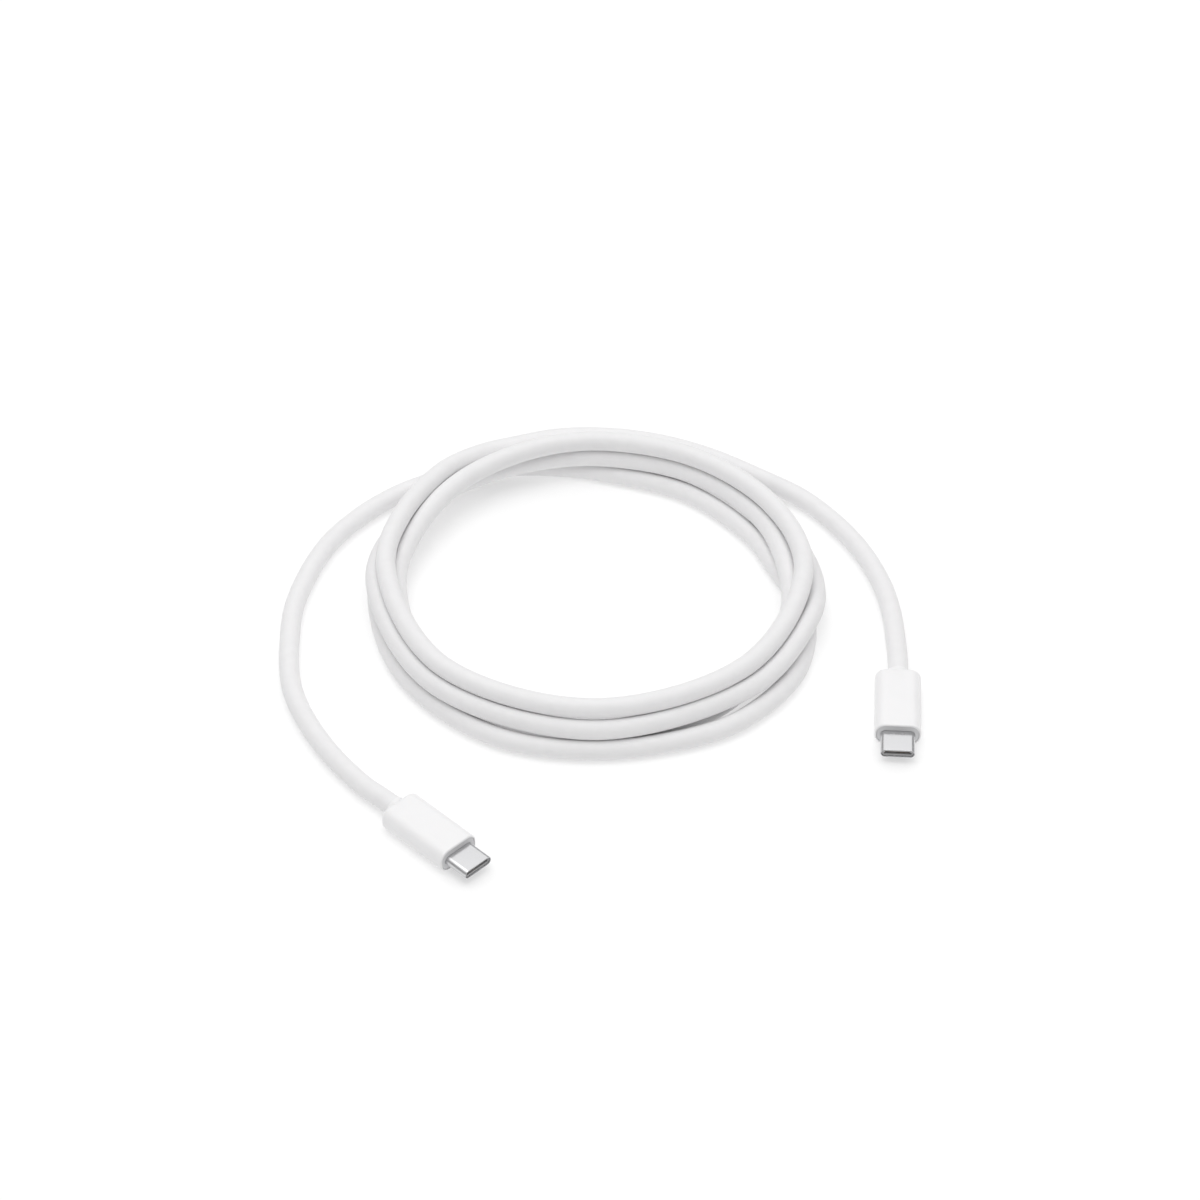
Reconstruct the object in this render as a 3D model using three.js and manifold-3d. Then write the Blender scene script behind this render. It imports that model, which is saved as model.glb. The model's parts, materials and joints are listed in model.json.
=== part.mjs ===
// A charging cable with the same reversible plug at each end, laid down in a round coil.
// Millimetres, +Z up. The origin is on the surface that the cable lies on, midway between the plugs.
import * as THREE from "three";
import { mergeVertices } from "three/addons/utils/BufferGeometryUtils.js";
import Module from "manifold-3d";

// ---------------------------------------------------------------- driving dimensions
const CLEAR = 0.05; // between moulded, stamped and soldered pieces inside a plug
const CORD_GAP = 0.3; // between a cord's end face and what it meets

const CORD = { diameter: 5, sides: 10, tailStepsLeft: 20, tailStepsRight: 12 };

const HOUSING = {
  length: 21,
  width: 11.3,
  height: 6.4,
  corner: 2.75,
  wall: 0.7,
  rearWall: 1.6,
  rearRound: 0.8,
  segments: 5,
};
const CAP = { thickness: 0.9, lip: 1.2 };
const COLLAR = { proud: 0.8, step: 0.35, wall: 1.05, neckLength: 1 };
const MOULD = { side: 0.6, top: 0.65 }; // its skin beside and above the shield can
const SHELL = { width: 8.25, height: 2.4, wall: 0.2, reach: 6.65, buried: 6.6, segments: 6 };
const INSERT = { recess: 0.35, length: 11.3, slotMargin: 0.35, slotHeight: 0.8, slotDepth: 6.4 };
const CONTACT = {
  count: 12,
  pitch: 0.5,
  width: 0.25,
  thickness: 0.15,
  level: 0.42, // underside of a blade above the plug's mid-plane
  dip: 0.2, // how far the touching bump hangs below that underside
  tipBack: 1.1, // from the shell's mouth to the blade's end
  bumpBack: 2, // from the shell's mouth to the bump
  bumpRun: 1, // half the length of the bump
  barLength: 0.7,
};
const CHANNEL = { roof: 0.82, margin: 0.15 };
const WAFER = { length: 1.6, margin: 0.3, low: 0.3, high: 0.9, tail: 1 };
const LATCH = { thickness: 0.2, bite: 0.25, arm: 0.28, hook: 0.22, hookLength: 0.6, web: 3 };
const SPRING = { width: 5, length: 0.55, thickness: 0.12 };
const BOARD = { length: 7, sideGap: 0.4, thickness: 0.6 };
const CHIP = { length: 2, width: 1.7, thickness: 0.5, fromFront: 2.4 };
const CAN = { wall: 0.2, rear: 5.2 };
const FERRULE = { skin: 0.4, wall: 0.3 };
const WIRES = [
  { name: "vbus_wire", diameter: 1.1, bundle: [0.75, 0.55], pad: 2.7, side: 1, color: 0xc0392b },
  { name: "ground_wire", diameter: 1.1, bundle: [-0.75, 0.55], pad: -2.7, side: 1, color: 0x2b2b2b },
  { name: "data_plus_wire", diameter: 0.7, bundle: [0.85, -0.75], pad: 1.9, side: -1, color: 0x2e9e5b },
  { name: "data_minus_wire", diameter: 0.7, bundle: [-0.85, -0.75], pad: -1.9, side: -1, color: 0xe8e8e8 },
  { name: "cc_wire", diameter: 0.7, bundle: [0, -0.9], pad: 0, side: -1, color: 0x3a63c8 },
];
const WIRE = { sides: 8, steps: 8, solderLength: 1.2 };

// The coil's envelope: four turns stacked on each other and side by side.
const COIL = { x: -15.1, y: 64.8, inner: 44.5, outer: 60, height: 14.3, chamfer: 2, segments: 60 };

// Where each plug lies: the middle of its rear face, and the way its mouth points.
const PLUGS = {
  left: { x: -61.3, y: -12.4, heading: -45 },
  right: { x: 59.4, y: 33.9, heading: -93.7 },
};
// Free stretches of cord, from the plug's collar to the coil, at the cord's middle.
const LEFT_ROUTE = [
  [-70, -3.7, 2.7],
  [-80.4, 10.6, 2.55],
  [-88.6, 29.2, 2.55],
  [-90.6, 48.8, 2.55],
  [-89.8, 63.6, 2.55],
  [-83.4, 84.2, 2.55],
  [-75.1, 96.4, 2.55],
  [-66.2, 104.8, 2.55],
  [-60.4, 108.6, 2.55],
];
const RIGHT_ROUTE = [
  [59.8, 46.2, 2.65],
  [59.3, 58.4, 2.55],
  [57.6, 69, 2.55],
  [53.4, 81.6, 2.55],
  [47.4, 92.6, 2.55],
  [38.6, 103.4, 2.7],
  [31.5, 106.7, 3.8],
];

// ---------------------------------------------------------------- what follows from them
const MID = HOUSING.height / 2;
const TIP = HOUSING.length + SHELL.reach;
const CAP_REAR = HOUSING.length - CAP.thickness;
const SHELL_REAR = HOUSING.length - SHELL.buried;
const INSERT_FRONT = TIP - INSERT.recess;
const INSERT_REAR = INSERT_FRONT - INSERT.length;
const BAR_REAR = INSERT_REAR + CLEAR;
const WAFER_FRONT = INSERT_REAR - CLEAR;
const WAFER_REAR = WAFER_FRONT - WAFER.length;
const BOARD_FRONT = WAFER_REAR - CLEAR;
const BOARD_REAR = BOARD_FRONT - BOARD.length;
const CAN_FRONT = SHELL_REAR - CLEAR;
const CAVITY = {
  width: HOUSING.width - 2 * HOUSING.wall,
  height: HOUSING.height - 2 * HOUSING.wall,
  corner: HOUSING.corner - HOUSING.wall,
};
const CAN_WIDTH = CAVITY.width - 2 * (CLEAR + MOULD.side);
const CAN_HEIGHT = CAVITY.height - 2 * (CLEAR + MOULD.top);
const BOARD_WIDTH = CAN_WIDTH - 2 * (CAN.wall + BOARD.sideGap);
const COLLAR_OUTER = CORD.diameter + 2 * COLLAR.step;
const COLLAR_BORE = COLLAR_OUTER - 2 * COLLAR.wall;
const COLLAR_NECK = Math.min(COLLAR_OUTER, CAVITY.height - 2 * CLEAR);
const FERRULE_OUTER = CAVITY.height - 2 * FERRULE.skin;
const ROW_HALF = (CONTACT.count * CONTACT.pitch) / 2;
const SLOT_WIDTH = 2 * (ROW_HALF + INSERT.slotMargin);
const LATCH_HALF = SLOT_WIDTH / 2 + LATCH.bite;
const FERRULE_REAR = HOUSING.rearWall + COLLAR.neckLength + 3 * CLEAR;
const FERRULE_FRONT = CAN.rear - 2 * CLEAR;

// ---------------------------------------------------------------- solids
const wasm = await Module();
wasm.setup();

// Bases that stand an extruded outline across the plug, or along its side.
const ACROSS = new THREE.Matrix4().makeBasis(
  new THREE.Vector3(0, 1, 0),
  new THREE.Vector3(0, 0, 1),
  new THREE.Vector3(1, 0, 0),
);
const SIDEWAYS = new THREE.Matrix4().makeBasis(
  new THREE.Vector3(1, 0, 0),
  new THREE.Vector3(0, 0, 1),
  new THREE.Vector3(0, -1, 0),
);

function toSolid(geometry) {
  const bare = geometry.clone();
  bare.deleteAttribute("normal");
  bare.deleteAttribute("uv");
  const merged = mergeVertices(bare, 1e-4);
  const mesh = new wasm.Mesh({
    numProp: 3,
    vertProperties: merged.attributes.position.array,
    triVerts: new Uint32Array(merged.index.array),
  });
  return new wasm.Manifold(mesh);
}

function toGeometry(solid) {
  const mesh = solid.getMesh();
  const geometry = new THREE.BufferGeometry();
  geometry.setAttribute("position", new THREE.BufferAttribute(mesh.vertProperties, 3));
  geometry.setIndex(new THREE.BufferAttribute(mesh.triVerts, 1));
  geometry.computeVertexNormals();
  return geometry;
}

function cut(body, ...tools) {
  return toGeometry(tools.reduce((left, tool) => left.subtract(toSolid(tool)), toSolid(body)));
}

function join(...bodies) {
  return toGeometry(bodies.map(toSolid).reduce((all, body) => all.add(body)));
}

// A block between two planes on each axis, given in either order.
function box(x0, x1, y0, y1, z0, z1) {
  const geometry = new THREE.BoxGeometry(Math.abs(x1 - x0), Math.abs(y1 - y0), Math.abs(z1 - z0));
  return geometry.translate((x0 + x1) / 2, (y0 + y1) / 2, (z0 + z1) / 2);
}

// An outline with round corners, centred on the plug's axis.
function roundRect(width, height, corner) {
  const w = width / 2;
  const h = height / 2;
  const r = Math.min(corner, w, h);
  const shape = new THREE.Shape();
  shape.moveTo(w, r - h);
  shape.absarc(w - r, h - r, r, 0, Math.PI / 2);
  shape.absarc(r - w, h - r, r, Math.PI / 2, Math.PI);
  shape.absarc(r - w, r - h, r, Math.PI, Math.PI * 1.5);
  shape.absarc(w - r, r - h, r, Math.PI * 1.5, Math.PI * 2);
  return shape;
}

// A section that runs along the plug from x0 to x1.
function prism(width, height, corner, x0, x1, segments = HOUSING.segments) {
  const geometry = new THREE.ExtrudeGeometry(roundRect(width, height, corner), {
    depth: x1 - x0,
    bevelEnabled: false,
    curveSegments: segments,
  });
  return geometry.applyMatrix4(ACROSS).translate(x0, 0, 0);
}

// A round bar or, with a bore, a bush along the plug's axis.
function turned(outer, x0, x1, bore = 0, segments = 24) {
  const profile = [
    [bore / 2, 0],
    [outer / 2, 0],
    [outer / 2, x1 - x0],
    [bore / 2, x1 - x0],
  ].map(([r, x]) => new THREE.Vector2(r, x));
  if (bore > 0) profile.push(profile[0].clone());
  const geometry = new THREE.LatheGeometry(profile, segments);
  return geometry.rotateX(Math.PI / 2).applyMatrix4(ACROSS).translate(x0, 0, 0);
}

// An outline in the plug's side view, as thick as width and centred on y.
function sideProfile(points, y, width) {
  const shape = new THREE.Shape(points.map(([x, z]) => new THREE.Vector2(x, z)));
  const geometry = new THREE.ExtrudeGeometry(shape, { depth: width, bevelEnabled: false });
  return geometry.applyMatrix4(SIDEWAYS).translate(0, y + width / 2, 0);
}

function tube(points, diameter, sides, steps) {
  const outline = new THREE.Shape();
  outline.absarc(0, 0, diameter / 2, 0, Math.PI * 2);
  const through = points.map((p) => new THREE.Vector3(...p));
  const curve = new THREE.CatmullRomCurve3(through, false, "centripetal");
  return new THREE.ExtrudeGeometry(outline, { extrudePath: curve, steps, curveSegments: sides / 2 });
}

// ---------------------------------------------------------------- the plug's pieces
function housingSleeve() {
  const round = HOUSING.rearRound;
  const body = new THREE.ExtrudeGeometry(
    roundRect(HOUSING.width - 2 * round, HOUSING.height - 2 * round, HOUSING.corner - round),
    {
      depth: HOUSING.length - 2 * round,
      bevelThickness: round,
      bevelSize: round,
      bevelSegments: 3,
      curveSegments: HOUSING.segments,
    },
  );
  body.applyMatrix4(ACROSS).translate(round, 0, 0);
  const across = HOUSING.width;
  return cut(
    body,
    box(CAP_REAR, HOUSING.length + 1, -across, across, -across, across),
    prism(CAVITY.width, CAVITY.height, CAVITY.corner, HOUSING.rearWall, HOUSING.length),
    turned(COLLAR_OUTER + 2 * CLEAR, -1, HOUSING.rearWall + 1),
  );
}

function frontCap() {
  const plate = prism(HOUSING.width, HOUSING.height, HOUSING.corner, CAP_REAR + CLEAR, HOUSING.length);
  const lip = prism(
    CAVITY.width - 2 * CLEAR,
    CAVITY.height - 2 * CLEAR,
    CAVITY.corner,
    CAP_REAR - CAP.lip,
    HOUSING.length - CAP.thickness / 2,
  );
  const mouth = prism(
    SHELL.width + 2 * CLEAR,
    SHELL.height + 2 * CLEAR,
    SHELL.height,
    CAP_REAR - 2 * CAP.lip,
    HOUSING.length + 1,
    SHELL.segments,
  );
  return toGeometry(toSolid(plate).add(toSolid(lip)).subtract(toSolid(mouth)));
}

function strainReliefCollar() {
  const inside = HOUSING.rearWall + CLEAR;
  const bush = turned(COLLAR_OUTER, -COLLAR.proud, inside);
  const neck = turned(COLLAR_NECK, inside - CLEAR, inside + COLLAR.neckLength);
  const bore = turned(COLLAR_BORE, -1 - COLLAR.proud, inside + COLLAR.neckLength + 1);
  return toGeometry(toSolid(bush).add(toSolid(neck)).subtract(toSolid(bore)));
}

function innerMould() {
  const block = prism(
    CAVITY.width - 2 * CLEAR,
    CAVITY.height - 2 * CLEAR,
    CAVITY.corner,
    FERRULE_REAR,
    CAP_REAR - CAP.lip - CLEAR,
  );
  const gap = 2 * CLEAR;
  return cut(
    block,
    turned(FERRULE_OUTER + gap, 0, CAN.rear + 1),
    box(
      CAN.rear - CLEAR,
      CAN_FRONT + CLEAR,
      -CAN_WIDTH / 2 - CLEAR,
      CAN_WIDTH / 2 + CLEAR,
      -CAN_HEIGHT / 2 - CLEAR,
      CAN_HEIGHT / 2 + CLEAR,
    ),
    prism(SHELL.width + gap, SHELL.height + gap, SHELL.height, CAN.rear + 1, TIP, SHELL.segments),
  );
}

function crimpFerrule() {
  return turned(FERRULE_OUTER, FERRULE_REAR, FERRULE_FRONT, FERRULE_OUTER - 2 * FERRULE.wall);
}

// Half of the stamped can over the board: side is 1 for the top and -1 for the bottom.
function shieldHalf(side) {
  const w = CAN_WIDTH / 2;
  const h = (CAN_HEIGHT / 2) * side;
  return cut(
    box(CAN.rear, CAN_FRONT, -w, w, CLEAR * side, h),
    box(CAN.rear + CAN.wall, CAN_FRONT + 1, CAN.wall - w, w - CAN.wall, -side, h - CAN.wall * side),
    turned(COLLAR_BORE, 0, CAN.rear + 1),
  );
}

function paddleCard() {
  const w = BOARD_WIDTH / 2;
  const t = BOARD.thickness / 2;
  return box(BOARD_REAR, BOARD_FRONT, -w, w, -t, t);
}

function markerChip() {
  const front = BOARD_FRONT - CHIP.fromFront;
  const low = BOARD.thickness / 2 + CLEAR;
  return box(front - CHIP.length, front, -CHIP.width / 2, CHIP.width / 2, low, low + CHIP.thickness);
}

function plugShell() {
  const wall = 2 * SHELL.wall;
  return cut(
    prism(SHELL.width, SHELL.height, SHELL.height, SHELL_REAR, TIP, SHELL.segments),
    prism(SHELL.width - wall, SHELL.height - wall, SHELL.height, SHELL_REAR - 1, TIP + 1, SHELL.segments),
  );
}

function contactInsert() {
  const outerWidth = SHELL.width - 2 * (SHELL.wall + CLEAR);
  const outerHeight = SHELL.height - 2 * (SHELL.wall + CLEAR);
  const body = prism(outerWidth, outerHeight, outerHeight, INSERT_REAR, INSERT_FRONT, SHELL.segments);
  const slot = prism(
    SLOT_WIDTH,
    INSERT.slotHeight,
    INSERT.slotHeight / 4,
    INSERT_FRONT - INSERT.slotDepth,
    TIP,
    2,
  );
  const channelFront = TIP - CONTACT.tipBack + 2 * CLEAR;
  const channels = [1, -1].map((side) => {
    const w = ROW_HALF + CHANNEL.margin;
    const floor = CONTACT.level - 2 * CLEAR;
    return box(INSERT_REAR - 1, channelFront, -w, w, side * floor, side * CHANNEL.roof);
  });
  const latchHalf = LATCH.thickness / 2 + CLEAR;
  const latchWide = LATCH_HALF + CLEAR;
  const latchFront = INSERT_FRONT - 3 * CLEAR;
  const latchSlit = box(INSERT_REAR - 1, latchFront, -latchWide, latchWide, -latchHalf, latchHalf);
  const springRear = INSERT_FRONT - SPRING.length + CLEAR;
  const notches = [1, -1].map((side) => {
    const w = SPRING.width / 2 + CLEAR;
    const floor = outerHeight / 2 - SPRING.thickness - CLEAR;
    return box(springRear, TIP, -w, w, side * floor, side * outerHeight);
  });
  return cut(body, slot, ...channels, latchSlit, ...notches);
}

// The sprung ends of one row of contacts, joined by their carrier bar.
function contactBlades(side) {
  const low = CONTACT.level;
  const bump = TIP - CONTACT.bumpBack;
  const [start, end] = [bump - CONTACT.bumpRun, TIP - CONTACT.tipBack];
  const lower = [
    [BAR_REAR, low],
    [start, low],
    [bump, low - CONTACT.dip],
    [end, low],
  ];
  const upper = lower.map(([x, z]) => [x, z + CONTACT.thickness]).reverse();
  const outline = [...lower, ...upper].map(([x, z]) => [x, z * side]);
  const blades = Array.from({ length: CONTACT.count }, (_, i) => {
    const y = (i - (CONTACT.count - 1) / 2) * CONTACT.pitch;
    return sideProfile(outline, y, CONTACT.width);
  });
  const [barLow, barHigh] = [(low - CLEAR) * side, (low + CONTACT.thickness + CLEAR) * side];
  return join(
    box(BAR_REAR, BAR_REAR + CONTACT.barLength, -ROW_HALF, ROW_HALF, barLow, barHigh),
    ...blades,
  );
}

// The moulded carrier behind the insert, with the contacts' soldered tails.
function contactWafer(side) {
  const w = ROW_HALF + WAFER.margin;
  const carrier = box(WAFER_REAR, WAFER_FRONT, -w, w, WAFER.low * side, WAFER.high * side);
  const pad = (BOARD.thickness / 2 + CLEAR) * side;
  const top = pad + CONTACT.thickness * side;
  const tails = Array.from({ length: CONTACT.count }, (_, i) => {
    const y = (i - (CONTACT.count - 1) / 2) * CONTACT.pitch;
    const half = CONTACT.width / 2;
    return box(BOARD_FRONT - WAFER.tail, WAFER_REAR + WAFER.tail / 2, y - half, y + half, pad, top);
  });
  return join(carrier, ...tails);
}

// The mid-plate: a web behind the slot and an arm on each side, with a hook that holds the socket's tongue.
function latchPlate() {
  const front = INSERT_FRONT - 6 * CLEAR;
  const w = LATCH_HALF;
  const inner = w - LATCH.arm;
  const webFront = INSERT_REAR + LATCH.web;
  const half = [
    [front, w],
    [front, inner - LATCH.hook],
    [front - LATCH.hookLength, inner],
    [webFront, inner],
  ];
  const outline = [[INSERT_REAR + CLEAR, w], ...half];
  const mirrored = outline.map(([x, y]) => [x, -y]).reverse();
  const shape = new THREE.Shape([...outline, ...mirrored].map(([x, y]) => new THREE.Vector2(x, y)));
  const plate = new THREE.ExtrudeGeometry(shape, { depth: LATCH.thickness, bevelEnabled: false });
  return plate.translate(0, 0, -LATCH.thickness / 2);
}

// The spring at the mouth that earths the socket's shell.
function mouthSpring(side) {
  const outer = (SHELL.height / 2 - SHELL.wall - 1.5 * CLEAR) * side;
  const inner = outer - SPRING.thickness * side;
  const w = SPRING.width / 2;
  const rear = INSERT_FRONT - SPRING.length + 2 * CLEAR;
  return box(rear, rear + SPRING.length, -w, w, inner, outer);
}

// A conductor from the cord's end, through the ferrule and the can's hole, to its pad on the card.
function wire({ diameter, bundle, pad, side }) {
  const height = (BOARD.thickness / 2 + diameter / 2 + CLEAR) * side;
  const points = [
    [CORD_GAP, ...bundle],
    [CAN.rear / 2, ...bundle],
    [CAN.rear, ...bundle],
    [BOARD_REAR, pad * 0.92, height],
    [BOARD_REAR + WIRE.solderLength, pad, height],
  ];
  return tube(points, diameter, WIRE.sides, WIRE.steps);
}

// ---------------------------------------------------------------- assembly
const part = new THREE.Group();

function finish(color, roughness, metalness = 0) {
  return new THREE.MeshStandardMaterial({ color, roughness, metalness });
}

function add(group, name, geometry, material) {
  const mesh = new THREE.Mesh(geometry, material);
  mesh.name = name;
  group.add(mesh);
}

function addPlug(side, { x, y, heading }) {
  const plug = new THREE.Group();
  plug.position.set(x, y, MID);
  plug.rotation.z = THREE.MathUtils.degToRad(heading);
  part.add(plug);
  const pieces = [
    ["housing_sleeve", housingSleeve(), finish(0xf4f4f4, 0.35)],
    ["front_cap", frontCap(), finish(0xd0d0d2, 0.45)],
    ["strain_relief_collar", strainReliefCollar(), finish(0xf2f2f2, 0.4)],
    ["inner_mould", innerMould(), finish(0xdedede, 0.6)],
    ["crimp_ferrule", crimpFerrule(), finish(0xb8b2a8, 0.35, 1)],
    ["shield_top", shieldHalf(1), finish(0xc4c6c8, 0.3, 1)],
    ["shield_bottom", shieldHalf(-1), finish(0xc4c6c8, 0.3, 1)],
    ["paddle_card", paddleCard(), finish(0x1f6b45, 0.5)],
    ["marker_chip", markerChip(), finish(0x202022, 0.4)],
    ["plug_shell", plugShell(), finish(0xd8d9dc, 0.22, 1)],
    ["contact_insert", contactInsert(), finish(0x2a2a2c, 0.5)],
    ["upper_wafer", contactWafer(1), finish(0x2a2a2c, 0.5)],
    ["lower_wafer", contactWafer(-1), finish(0x2a2a2c, 0.5)],
    ["upper_contacts", contactBlades(1), finish(0xd6ae55, 0.25, 1)],
    ["lower_contacts", contactBlades(-1), finish(0xd6ae55, 0.25, 1)],
    ["latch_plate", latchPlate(), finish(0xc9cacd, 0.3, 1)],
    ["upper_mouth_spring", mouthSpring(1), finish(0xc9cacd, 0.3, 1)],
    ["lower_mouth_spring", mouthSpring(-1), finish(0xc9cacd, 0.3, 1)],
    ...WIRES.map((spec) => [spec.name, wire(spec), finish(spec.color, 0.5)]),
  ];
  pieces.forEach(([name, geometry, material]) => add(plug, side + "_" + name, geometry, material));
}

// The middle of a cord's end face, one gap behind the plug's collar.
function cordStart({ x, y, heading }) {
  const angle = THREE.MathUtils.degToRad(heading);
  const back = COLLAR.proud + CORD_GAP;
  return [x - back * Math.cos(angle), y - back * Math.sin(angle), MID];
}

function coilEnvelope() {
  const { inner, outer, height, chamfer } = COIL;
  const profile = [
    [inner + chamfer, 0],
    [outer - chamfer, 0],
    [outer, chamfer],
    [outer, height - 2 * chamfer],
    [outer - 2 * chamfer, height],
    [inner + 2 * chamfer, height],
    [inner, height - 2 * chamfer],
    [inner, chamfer],
    [inner + chamfer, 0],
  ].map(([r, z]) => new THREE.Vector2(r, z));
  const ring = new THREE.LatheGeometry(profile, COIL.segments);
  return ring.rotateX(Math.PI / 2).translate(COIL.x, COIL.y, 0);
}

Object.entries(PLUGS).forEach(([side, place]) => addPlug(side, place));
const jacket = finish(0xeeeeee, 0.8);
add(part, "cord_coil", coilEnvelope(), jacket);
const tails = [
  ["left_cord_tail", [cordStart(PLUGS.left), ...LEFT_ROUTE], CORD.tailStepsLeft],
  ["right_cord_tail", [cordStart(PLUGS.right), ...RIGHT_ROUTE], CORD.tailStepsRight],
];
tails.forEach(([name, route, steps]) => {
  add(part, name, tube(route, CORD.diameter, CORD.sides, steps), jacket.clone());
});

export default part;
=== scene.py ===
"""Looks of a white charging cable with a reversible plug at each end, laid in a loose round coil.

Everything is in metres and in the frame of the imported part: +Z up, with the cable on the plane z = 0.
"""

from __future__ import annotations

import json
import logging
import math
from dataclasses import dataclass, replace
from enum import Enum
from typing import Any, Callable, Iterable

import bmesh
import bpy
import numpy as np
from mathutils import Matrix, Vector

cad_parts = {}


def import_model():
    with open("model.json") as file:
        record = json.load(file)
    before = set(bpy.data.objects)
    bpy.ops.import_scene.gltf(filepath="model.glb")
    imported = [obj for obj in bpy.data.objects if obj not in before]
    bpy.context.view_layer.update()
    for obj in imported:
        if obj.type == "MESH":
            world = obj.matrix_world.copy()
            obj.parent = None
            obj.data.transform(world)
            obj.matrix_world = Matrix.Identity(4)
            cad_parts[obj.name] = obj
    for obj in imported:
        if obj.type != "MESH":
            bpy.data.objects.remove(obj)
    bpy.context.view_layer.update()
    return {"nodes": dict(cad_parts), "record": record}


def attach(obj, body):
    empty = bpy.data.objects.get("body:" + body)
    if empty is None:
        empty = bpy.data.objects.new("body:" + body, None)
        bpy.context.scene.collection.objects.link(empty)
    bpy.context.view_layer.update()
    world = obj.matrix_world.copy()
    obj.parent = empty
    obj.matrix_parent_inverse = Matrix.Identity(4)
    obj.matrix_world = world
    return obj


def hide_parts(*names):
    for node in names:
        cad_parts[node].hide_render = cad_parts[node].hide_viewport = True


LOG = logging.getLogger("charging_cable")
MM = 0.001
BODY = "cable"
SMOOTH_TO = 40.0  # the sharpest angle, in degrees, that is shaded as a curve
OVERSHOOT = 1 * MM  # how far a cutting tool stands out of what it cuts
Point = tuple[float, float, float]


# ---------------------------------------------------------------- shader helpers
@dataclass
class Graph:
    """A material's node tree, with short calls to add and join its nodes.

    Args:
        material: the material that the nodes belong to.
    """

    # Where most of a noise pattern's values lie.
    NOISE_LOW, NOISE_HIGH = 0.3, 0.7

    material: bpy.types.Material

    def __post_init__(self) -> None:
        """Empties the tree and adds the shader and its output."""
        self.material.use_nodes = True
        self.tree = self.material.node_tree
        self.tree.nodes.clear()
        self.shader = self.add("ShaderNodeBsdfPrincipled")
        output = self.add("ShaderNodeOutputMaterial")
        self.join(self.shader.outputs["BSDF"], output.inputs["Surface"])

    def add(self, kind: str, **values: Any) -> bpy.types.Node:
        """Adds a node.

        Args:
            kind: the node's type name.
            **values: attributes of the node, or starting values of its inputs.

        Returns:
            The new node.
        """
        node = self.tree.nodes.new(kind)
        for name, value in values.items():
            if hasattr(node, name):
                setattr(node, name, value)
            else:
                node.inputs[name.replace("_", " ")].default_value = value
        return node

    def join(self, source: bpy.types.NodeSocket, target: bpy.types.NodeSocket) -> None:
        """Links one socket to another."""
        self.tree.links.new(source, target)

    def set(self, **values: Any) -> None:
        """Sets the shader's own sockets, named with _ for a space."""
        for name, value in values.items():
            self.shader.inputs[name.replace("_", " ")].default_value = value

    def place(self, scale: Point = (1, 1, 1), turn: float = 0.0) -> bpy.types.NodeSocket:
        """Object coordinates, stretched and turned about Z.

        Args:
            scale: the stretch along each axis, applied after the turn.
            turn: the turn about Z, in radians.

        Returns:
            The vector socket to feed a texture with.
        """
        source = self.add("ShaderNodeTexCoord")
        turned = self.add("ShaderNodeMapping", vector_type="POINT")
        turned.inputs["Rotation"].default_value = (0, 0, turn)
        stretched = self.add("ShaderNodeMapping", vector_type="POINT")
        stretched.inputs["Scale"].default_value = scale
        self.join(source.outputs["Object"], turned.inputs["Vector"])
        self.join(turned.outputs["Vector"], stretched.inputs["Vector"])
        return stretched.outputs["Vector"]

    def noise(self, vector: bpy.types.NodeSocket, scale: float, detail: float = 3.0) -> bpy.types.NodeSocket:
        """A noise pattern's grey value.

        Args:
            vector: the coordinates it reads.
            scale: how many waves fit in one unit.
            detail: how many finer layers it has.

        Returns:
            The grey output.
        """
        node = self.add("ShaderNodeTexNoise")
        node.inputs["Scale"].default_value = scale
        node.inputs["Detail"].default_value = detail
        self.join(vector, node.inputs["Vector"])
        return node.outputs["Fac"]

    def spread(self, grey: bpy.types.NodeSocket, low: float, high: float) -> bpy.types.NodeSocket:
        """Maps the middle of a noise pattern to the range from low to high."""
        node = self.add("ShaderNodeMapRange")
        node.inputs["From Min"].default_value = self.NOISE_LOW
        node.inputs["From Max"].default_value = self.NOISE_HIGH
        node.inputs["To Min"].default_value = low
        node.inputs["To Max"].default_value = high
        self.join(grey, node.inputs["Value"])
        return node.outputs["Result"]

    def tint(self, grey: bpy.types.NodeSocket, first: Point, second: Point) -> None:
        """Colours the surface between two close shades, following a grey pattern."""
        node = self.add("ShaderNodeMix", data_type="RGBA")
        colours = [s for s in node.inputs if s.type == "RGBA"]
        colours[0].default_value = (*first, 1)
        colours[1].default_value = (*second, 1)
        self.join(grey, node.inputs["Factor"])
        result = next(s for s in node.outputs if s.type == "RGBA")
        self.join(result, self.shader.inputs["Base Color"])

    def bump(self, heights: Iterable[tuple[bpy.types.NodeSocket, float]]) -> None:
        """Chains bump nodes into the shader's normal.

        Args:
            heights: pairs of a grey pattern and the depth it stands for, in metres.
        """
        last: bpy.types.NodeSocket | None = None
        for grey, depth in heights:
            node = self.add("ShaderNodeBump")
            node.inputs["Distance"].default_value = depth
            self.join(grey, node.inputs["Height"])
            if last is not None:
                self.join(last, node.inputs["Normal"])
            last = node.outputs["Normal"]
        if last is not None:
            self.join(last, self.shader.inputs["Normal"])


# ---------------------------------------------------------------- finishes
@dataclass(frozen=True)
class Finish:
    """What every finish has: a name and a base colour."""

    name: str
    colour: Point

    def shade(self, factor: float) -> Point:
        """The base colour made darker or lighter."""
        red, green, blue = (min(1.0, c * factor) for c in self.colour)
        return red, green, blue

    def dress(self, graph: Graph) -> None:
        """Adds the finish's own nodes; each finish has its own."""
        raise NotImplementedError

    def material(self) -> bpy.types.Material:
        """The finish as a material, made on first use and shared after that."""
        found = bpy.data.materials.get(self.name)
        if found is None:
            found = bpy.data.materials.new(self.name)
            self.dress(Graph(found))
            found.diffuse_color = (*self.colour, 1)
        return found


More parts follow.
